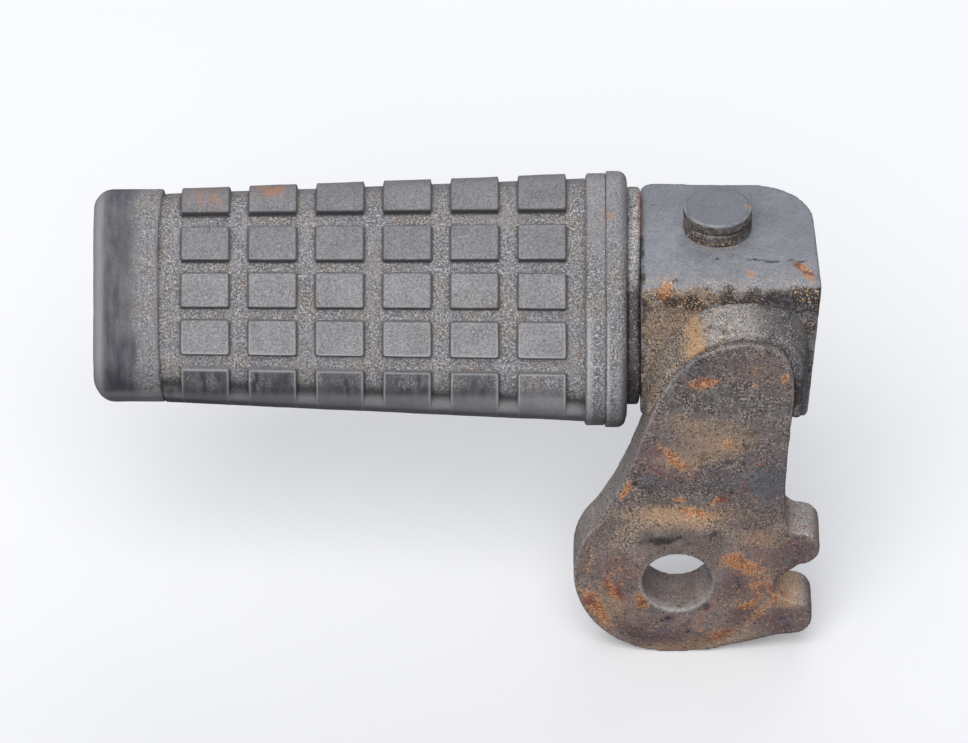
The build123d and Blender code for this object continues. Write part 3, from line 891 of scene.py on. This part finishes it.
# Soft stains: x and z from the bore, half sizes, strength, and a hue on the scale of STAIN_COLOURS
ARM_STAINS = (
    (14.5, 1.0, 4.0, 7.0, 1.0, 0.70),
    (11.0, -0.5, 1.6, 2.2, 0.7, 0.95),
    (13.0, 6.0, 3.0, 2.0, 0.7, 0.45),
    (0.0, 16.0, 9.0, 2.2, 0.95, 0.18),
    (-13.5, -7.5, 3.5, 5.5, 0.95, 0.22),
    (-9.5, 3.0, 4.0, 4.0, 0.7, 0.44),
    (-4.0, -12.5, 6.0, 3.4, 0.9, 0.93),
    (10.0, -13.6, 5.5, 2.4, 0.9, 0.24),
    (0.0, -17.5, 9.0, 1.6, 0.8, 0.20),
    (6.5, -8.5, 4.0, 4.0, 0.8, 0.52),
    (-12.0, 2.0, 2.4, 5.0, 0.6, 0.95),
    (23.0, 5.5, 4.0, 3.6, 0.9, 0.93),
    (21.5, -11.5, 5.0, 3.0, 0.9, 0.93),
    (18.5, 24.0, 3.6, 6.5, 0.9, 0.94),
    (-5.0, 33.0, 2.4, 3.0, 0.7, 0.94),
    (17.0, 10.0, 3.0, 2.6, 0.85, 0.20),
    (19.0, -3.5, 1.6, 5.5, 0.8, 0.24),
    (8.0, 34.5, 7.0, 3.4, 0.85, 0.30),
    (2.0, 39.0, 7.0, 2.0, 0.5, 0.25),
    (-1.5, 29.5, 5.5, 3.4, 0.75, 0.20),
    (-6.0, 27.0, 3.0, 2.4, 0.7, 0.95),
    (9.0, 24.5, 6.0, 2.2, 0.6, 0.94),
    (-2.0, 24.5, 5.0, 2.0, 0.6, 0.94),
    (12.6, 22.6, 1.6, 2.0, 0.7, 0.68),
    (2.0, 52.5, 4.0, 2.0, 0.7, 0.95),
    (15.0, 52.0, 4.5, 3.0, 0.8, 0.50),
    (21.6, -6.0, 2.8, 1.7, 1.8, 0.12),
)
RING = 16.0  # radius of the arm's raised ring round the bore
BORE = 7.0
RING_FACE = -6.0  # y of the ring's face
RING_STEP = 1.2
FRONT = RING_FACE + RING_STEP  # y of the arm's front face


def arm_shape(points):
    """Eases the ring's step, and runs the boss's back out into the arm's left side."""
    x, y, z = points.T / MM
    radius = np.hypot(x, z)
    eased = RING_FACE + RING_STEP * step(radius, 13.2, 18.6)
    y = np.where((y < -4.5) & (radius > 12.5) & (radius < 19.5), np.maximum(eased, -6.2), y)
    back = step(z, 3, 16) * step(x, 4, -4)
    y = np.where(y > 4.2, y - (y - 4.2) * back, y)
    return MM * np.stack([x, y, z], axis=1)


def arm_marks(points, away):
    """Wear on the arm, with painted shade in two crescents inside the ring. x, y and z are in millimetres
    from the bore's centre.
    """
    x, y, z = points.T / MM
    front = step(-away[:, 1], 0.35, 0.85)
    cloud = fractal(points, 8 * MM, 71)
    radius = np.hypot(x, z)
    low = step(z, 26, 8)
    inside = step(radius, BORE + 1.2, BORE + 0.2)
    upward = step(away[:, 2], 0.35, 0.9) * (1 - inside)
    shift_x, shift_z = ragged(points, 74)
    about = (x + shift_x, z + shift_z)
    rust = spots(*about, ARM_RUST) * front + (0.06 + 0.22 * low + 0.14 * cloud) * (1 - 0.6 * inside)
    rust += 0.55 * upward * spot(x, z, (21.2, -6.0), (1.6, 1.6)) * (1 + 0.6 * cloud)
    stain, hue = stains(*about, ARM_STAINS, 0.12 + 0.22 * low)
    arc = bell(radius, RING - 0.4, 0.8) * step(z, 8.5, 12.5) * front
    soil = spots(*about, ARM_SOIL) * front + 0.20 + 0.06 * low + 0.2 * cloud + 0.35 * arc
    soil += 0.6 * upward * step(z, 2, -4) * step(x, 19, 22)
    ash = 0.26 * inside + 0.75 * upward * step(z, 2, 6) * step(x, 18, 21)
    ash += 0.80 * step(-away[:, 0], 0.45, 0.8)
    ash += 0.30 * low * front * (1 + cloud) + 0.6 * upward * step(z, 2, -3) * step(x, 19, 22)
    # dark pits and black spots, and painted shade in the crescents inside the ring
    black = spots(*about, ARM_BLACK) * front + 0.06 * low + 0.12 * inside * cloud
    hue = np.where(x < 19, hue + 0.1 * cloud, hue)
    # a thin light line follows the arch and the left ridge
    edge = bell(y, FRONT + 0.25, 0.28) * bell(-away[:, 1], 0.68, 0.26)
    worn = edge * step(z, 26, 36) * (0.40 + 0.5 * fractal(points, 2 * MM, 72))
    rim = bell(radius, BORE + 0.15, 0.4) * step(y, -3.0, -5.0) * step(z, 1.0, -4.5)
    worn = worn + 0.5 * rim
    calm = step(z, 16, 11) * (0.8 + 0.4 * cloud) + 0.7 * spot(x, z, (16, 23), (5, 7))
    return {
        "rust": rust,
        "soil": soil,
        "ash": ash,
        "black": black,
        "worn": worn,
        "stain": stain,
        "hue": hue,
        "calm": calm,
    }


# Where the block's top and bend are marked: x and y from the pin, half lengths, turn and strength
BLOCK_RUST = (
    (-10.8, -18.6, 1.6, 1.6, 0, 1.0),
    (-9.5, -15.6, 3.0, 1.6, 0, 0.45),
    (16.0, -12.6, 2.0, 1.2, -60, 0.85),
    (17.6, -15.8, 3.2, 1.5, -60, 1.0),
    (6.6, -15.4, 2.6, 1.5, -20, 0.72),
    (-1.2, -15.8, 2.2, 1.6, 20, 0.42),
    (12.0, -17.0, 2.6, 1.2, 0, 0.40),
)
BLOCK_BLACK = (
    (7.0, -10.8, 2.2, 0.42, -8, 1.1),
    (10.6, -11.5, 1.9, 0.42, 12, 1.0),
    (14.4, -10.9, 1.2, 0.40, 0, 0.8),
    (16.8, -11.2, 1.4, 0.42, 20, 0.9),
    (-12.4, 2.6, 1.5, 0.3, 0, 0.5),
    (-12.0, -1.0, 1.0, 0.3, 0, 0.8),
    (-9.9, -4.1, 1.0, 0.3, 0, 0.6),
    (-0.1, -10.3, 0.7, 0.4, 30, 0.7),
    (-7.3, -15.6, 0.8, 0.6, 0, 0.7),
    (-8.4, -17.4, 1.6, 0.6, 0, 0.6),
    (11.2, 2.2, 0.3, 0.3, 0, 0.8),
)


def block_marks(points, away):
    """Wear, dirt and some painted shade on the clevis block. x, y and z are in millimetres from the pin,
    here and below.
    """
    x, y, z = ((points - PIN) / MM).T
    cloud = fractal(points, 7 * MM, 83)
    patchy = fractal(points, 2.4 * MM, 84)
    shift_x, shift_y = ragged(points, 85, 0.8)
    top = step(away[:, 2], 0.55, 0.9)
    web = step(-away[:, 1] + 0.25 * patchy, 0.35, 0.95)
    bend = step(y + 0.9 * patchy, -15.8, -18.6) * step(z, 11.0, 13.5)
    left = step(x, 4, -9) * web
    right = step(x, 6, 14) * web
    rust = spots(x + shift_x, y + shift_y, BLOCK_RUST) * step(z, 12, 14) + 0.14 * web + 0.06 * cloud
    rust += 0.45 * right * spot(x, z, (16.5, 6.0), (2.5, 3.0))
    rust += 0.8 * step(-away[:, 0], 0.5, 0.9) * step(y, -4, 6)
    soil = web * (0.30 + 0.42 * left + 0.15 * cloud) + 0.25 * bend - 0.3 * top
    black = web * (0.30 + 0.24 * right - 0.26 * left + 0.2 * cloud) + 0.20 * bend * (1 + patchy)
    black += 0.46 * web * bell(z, 12.2, 2.6) * (1 + 0.6 * patchy)
    black += spots(x + 0.3 * shift_x, y + 0.3 * shift_y, BLOCK_BLACK) * top
    # painted shade at the block's left end, in the gap by the pressure plate
    black += 0.55 * step(x, -14.0, -15.0) * step(y, 1, -4) * (1 + patchy)
    grit = np.clip(bend * (0.60 + 0.5 * cloud) + web * (0.55 + 0.5 * cloud), 0, 1)
    grit = grit * step(y + patchy, -13.0, -17.2)
    foot = bell(np.hypot(x, y), 7.5, 0.9) * step(y, -2, -6)
    ash = 0.25 * bend * top + 0.20 * top * step(y, -6, -13) * (1 + patchy)
    stain = 0.55 * top * step(0.7 * x + y, -6, 10) + 0.5 * web * step(cloud, -0.2, 0.6)
    hue = top + (1 - top) * (0.35 + 0.5 * step(x, 0, 8))
    grit = grit + 0.7 * foot + 0.30 * top * step(y + 1.6 * patchy, -9, -15)
    return {"rust": rust, "soil": soil, "black": black, "grit": grit, "ash": ash, "stain": stain, "hue": hue}


def weld_marks(points, _away):
    x, _, z = ((points - PIN) / MM).T
    cloud = fractal(points, 4 * MM, 97)
    left = step(x, -1, -7)
    golden = spot(x, z, (-4.3, 6.6), (1.7, 2.4))
    rust = 0.16 + 0.2 * cloud + 0.25 * golden
    stain = np.clip(2.2 * golden, 0, 1) + 0.35 * step(x, 0, 6)
    hue = np.where(x < 0, 0.10, 0.9)
    soil = 0.5 * left + 0.25 + 0.3 * cloud
    ash = 0.60 * (1 - left) * step(x, 12, 5) + 0.2 * cloud
    black = 0.12 + 0.30 * step(x, 5, 12) + 0.3 * cloud
    grit = (0.55 + 0.5 * cloud) * step(x, 13, 6)
    return {"rust": rust, "soil": soil, "ash": ash, "grit": grit, "black": black, "stain": stain, "hue": hue}


def plate_marks(points, _away):
    out, across, _ = along_peg(points)
    cloud = fractal(points, 5 * MM, 31)
    inner_face = step(out, 16.0, 15.6)
    ash = 0.62 * step(across, -6, 4) + 0.1 * cloud
    rust = 0.9 * inner_face * step(across, 6, 14) + 0.1 * cloud
    return {"ash": ash, "rust": rust}


# The pin's head: its radius, and its top above the peg's axis
HEAD = 6.8
EAR_TOP = 16.7
COLLAR = 2.8
GROOVE = 0.4
HEAD_THICKNESS = 2.4
HEAD_TOP = EAR_TOP + COLLAR + GROOVE + HEAD_THICKNESS


def pin_marks(points, _away):
    x, y, z = ((points - PIN) / MM).T
    cloud = fractal(points, 3 * MM, 37)
    side = step(z, HEAD_TOP - 0.45, HEAD_TOP - 0.8)
    rim = bell(np.hypot(x, y), HEAD - 0.20, 0.2) * step(z, HEAD_TOP - 0.8, HEAD_TOP - 0.2)
    worn = rim * (0.55 + 0.5 * cloud)
    low = step(z, HEAD_TOP - 1.6, HEAD_TOP - 4.2)
    black = side * (0.62 + 0.2 * cloud)
    grit = side * step(x, 7, -3) * (0.35 + 0.35 * low + 0.6 * cloud)
    rust = 0.8 * spot(x, y, (6.0, -0.3), (0.7, 1.0)) + side * (0.30 + 0.3 * cloud)
    return {"worn": worn, "black": black, "grit": grit, "rust": rust, "soil": 0.45 * side}


steel_piece(
    "mount_arm", "arm_body", "bracket", ARM_STEEL, arm_marks,
    shape=arm_shape, seed=52,
)
steel_piece(
    "clevis_block", "block_body", "bracket", BLOCK_STEEL, block_marks,
    swell=0.10, lump=0.04,
)
steel_piece(
    "arm_weld", "weld_bead", "bracket", ARM_STEEL, weld_marks,
    voxel=0.4 * MM, softening=8, swell=0.45, lump=0.28, seed=61,
)
steel_piece(
    "pressure_plate", "plate_disc", "peg", PLATE_STEEL, plate_marks,
    voxel=0.36 * MM, softening=1, swell=0.16, lump=0.03, seed=66,
)
for pin_node, pin_piece in (("hinge_pin", "pin_body"), ("head_washer", "pin_collar")):
    steel_piece(
        pin_node, pin_piece, "bracket", PIN_STEEL, pin_marks,
        voxel=0.2 * MM, softening=1, lump=0.02, seed=68,
    )

# Small pieces keep the CAD's own shape
for node, material in (
    ("tail_washer", HARDWARE),
    ("split_pin", HARDWARE),
    ("peg_core", CORE_STEEL),
    ("hinge_bush", BRONZE),
    ("upper_shim", HARDWARE),
    ("lower_shim", HARDWARE),
    ("retaining_disc", HARDWARE),
):
    node_mesh = frame["nodes"][node].data
    node_mesh.materials.clear()
    node_mesh.materials.append(material)


# --- Floor, light and camera --------------------------------------------------------------------
FLOOR_HALF = 3.0
LIGHT_AIM = Vector((-0.04, 0.02, 0.03))


def floor():
    """A pale sheet under the part that glows a little, more towards its back."""
    s = Shader("pale_floor")
    cloud = s.noise(0.15, detail=2.0)
    colour = s.ramp(cloud, [(0.3, (0.86, 0.865, 0.885)), (0.7, (0.885, 0.885, 0.90))])
    material = s.finish(colour, 0.95, s.bump(s.noise(0.002), 0.02 * MM, 0.1))
    s.surface.inputs["Emission Color"].default_value = (1.0, 0.99, 1.0, 1.0)
    glow = s.times(s.between(s.point_value("back"), -0.22, 0.12), 0.20)
    s.put(s.surface.inputs["Emission Strength"], glow)
    mesh = bpy.data.meshes.new("floor")
    lowest = cad_box[0][2]
    corners = [(FLOOR_HALF * x, FLOOR_HALF * y) for x, y in ((-1, -1), (1, -1), (1, 1), (-1, 1))]
    mesh.from_pydata([(x, y, lowest) for x, y in corners], [], [(0, 1, 2, 3)])
    store(mesh, "back", [y for x, y in corners])
    mesh.materials.append(material)
    sheet = bpy.data.objects.new("floor", mesh)
    bpy.context.scene.collection.objects.link(sheet)
    sheet.visible_diffuse = False
    sheet.visible_glossy = False


def area_light(name, direction, distance, size, power, colour):
    """A round soft light in a direction from the part, facing it."""
    light = bpy.data.lights.new(name, "AREA")
    light.shape = "DISK"
    light.size = size
    light.energy = power
    light.color = colour
    lamp = bpy.data.objects.new(name, light)
    lamp.location = LIGHT_AIM + distance * Vector(direction).normalized()
    lamp.rotation_euler = Vector(direction).to_track_quat("Z", "Y").to_euler()
    bpy.context.scene.collection.objects.link(lamp)


def soft_world():
    """Light from all round, dimmer the lower down it comes from."""
    world = bpy.data.worlds.new("studio")
    world.use_nodes = True
    tree = world.node_tree
    place = tree.nodes.new("ShaderNodeTexCoord")
    parts = tree.nodes.new("ShaderNodeSeparateXYZ")
    height = tree.nodes.new("ShaderNodeMapRange")
    shade = tree.nodes.new("ShaderNodeMix")
    shade.data_type = "RGBA"
    shade.inputs["A"].default_value = (0.30, 0.31, 0.33, 1)
    shade.inputs["B"].default_value = (0.92, 0.95, 1.0, 1)
    height.inputs["From Min"].default_value = -0.5
    height.inputs["From Max"].default_value = 0.6
    tree.links.new(place.outputs["Generated"], parts.inputs[0])
    tree.links.new(parts.outputs["Z"], height.inputs["Value"])
    tree.links.new(height.outputs[0], shade.inputs["Factor"])
    background = tree.nodes["Background"]
    tree.links.new(shade.outputs["Result"], background.inputs["Color"])
    background.inputs["Strength"].default_value = 0.42
    bpy.context.scene.world = world


floor()
area_light("key", (-0.12, -0.66, 0.74), 1.6, 1.5, 20, (1.0, 0.995, 0.985))
area_light("rear", (0.1, 0.75, 0.75), 1.4, 1.0, 3, (0.96, 0.98, 1.0))
soft_world()
bpy.context.scene.view_settings.view_transform = "Standard"

# A long lens, 37 degrees above the bore's axis
ELEVATION = math.radians(37.0)
DISTANCE = 1.8
SENSOR = 36.0
FOCAL_LENGTH = 9000  # in pixels of an image IMAGE_WIDTH pixels wide
IMAGE_WIDTH = 968
PICTURE_CENTRE = Vector((-0.0464, -0.0091, -0.0121))  # from the pin
camera_data = bpy.data.cameras.new("camera")
camera_data.sensor_width = SENSOR
camera_data.lens = SENSOR * FOCAL_LENGTH / IMAGE_WIDTH
camera_data.clip_end = 20.0
camera = bpy.data.objects.new("camera", camera_data)
look_at = Vector(PIN) + PICTURE_CENTRE
camera.location = look_at + DISTANCE * Vector((0, -math.cos(ELEVATION), math.sin(ELEVATION)))
camera.rotation_euler = (math.pi / 2 - ELEVATION, 0, 0)
bpy.context.scene.collection.objects.link(camera)
bpy.context.scene.camera = camera
